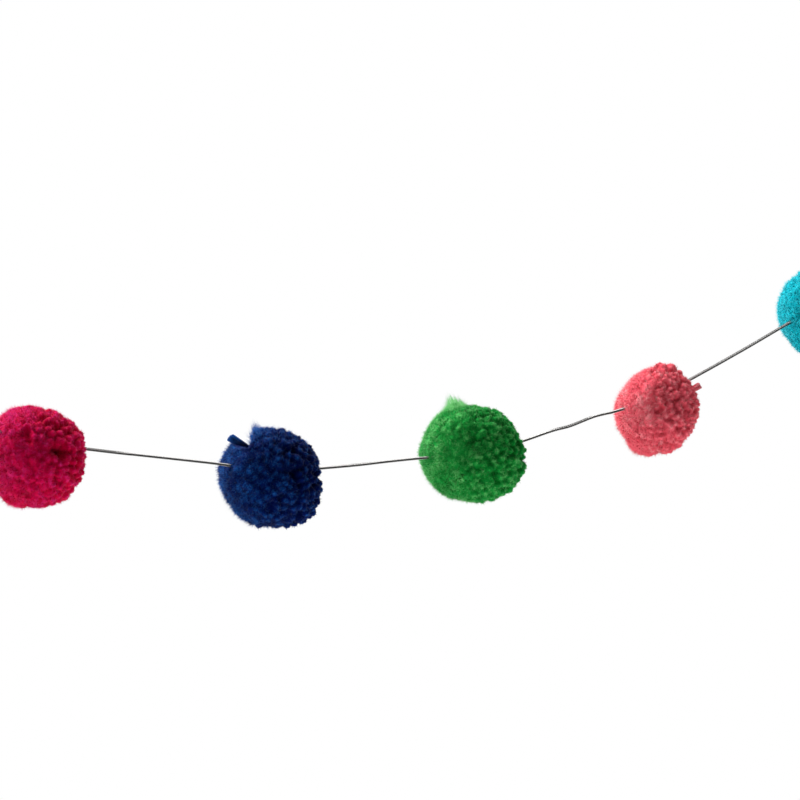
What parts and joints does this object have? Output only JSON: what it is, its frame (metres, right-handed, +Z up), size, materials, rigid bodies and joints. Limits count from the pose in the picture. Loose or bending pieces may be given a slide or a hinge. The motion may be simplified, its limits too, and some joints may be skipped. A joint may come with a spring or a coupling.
{
  "type": "yarn pompom garland",
  "caption": "Hanging garland of cut-pile yarn pompoms threaded on a flat braided metallic cord, with a knotted hanging loop at each end.",
  "frame": {"origin": "the point where the right end's loop bears on the hook or nail that holds it", "axes": "+X along the garland towards its higher, right end; +Y to the back, away from the front; +Z up. The garland hangs in the plane y = 0"},
  "size_m": [0.5605, 0.0511, 0.1608],
  "materials": {
    "yarn_magenta": "cut wool-like yarn, matt and fluffy, magenta",
    "yarn_blue": "cut wool-like yarn, matt and fluffy, royal blue",
    "yarn_green": "cut wool-like yarn, matt and fluffy, grass green",
    "yarn_pink": "cut wool-like yarn, matt and fluffy, salmon pink",
    "yarn_turquoise": "cut wool-like yarn, matt and fluffy, turquoise",
    "cord_silver": "flat braid of silver-grey metallic thread, slightly shiny"
  },
  "bodies": {
    "root": {"pompom_magenta": "yarn_magenta", "pompom_blue": "yarn_blue", "pompom_green": "yarn_green", "pompom_pink": "yarn_pink", "pompom_turquoise": "yarn_turquoise", "cord": "cord_silver", "end_loop_left": "cord_silver", "end_loop_right": "cord_silver"}
  },
  "joints": []
}
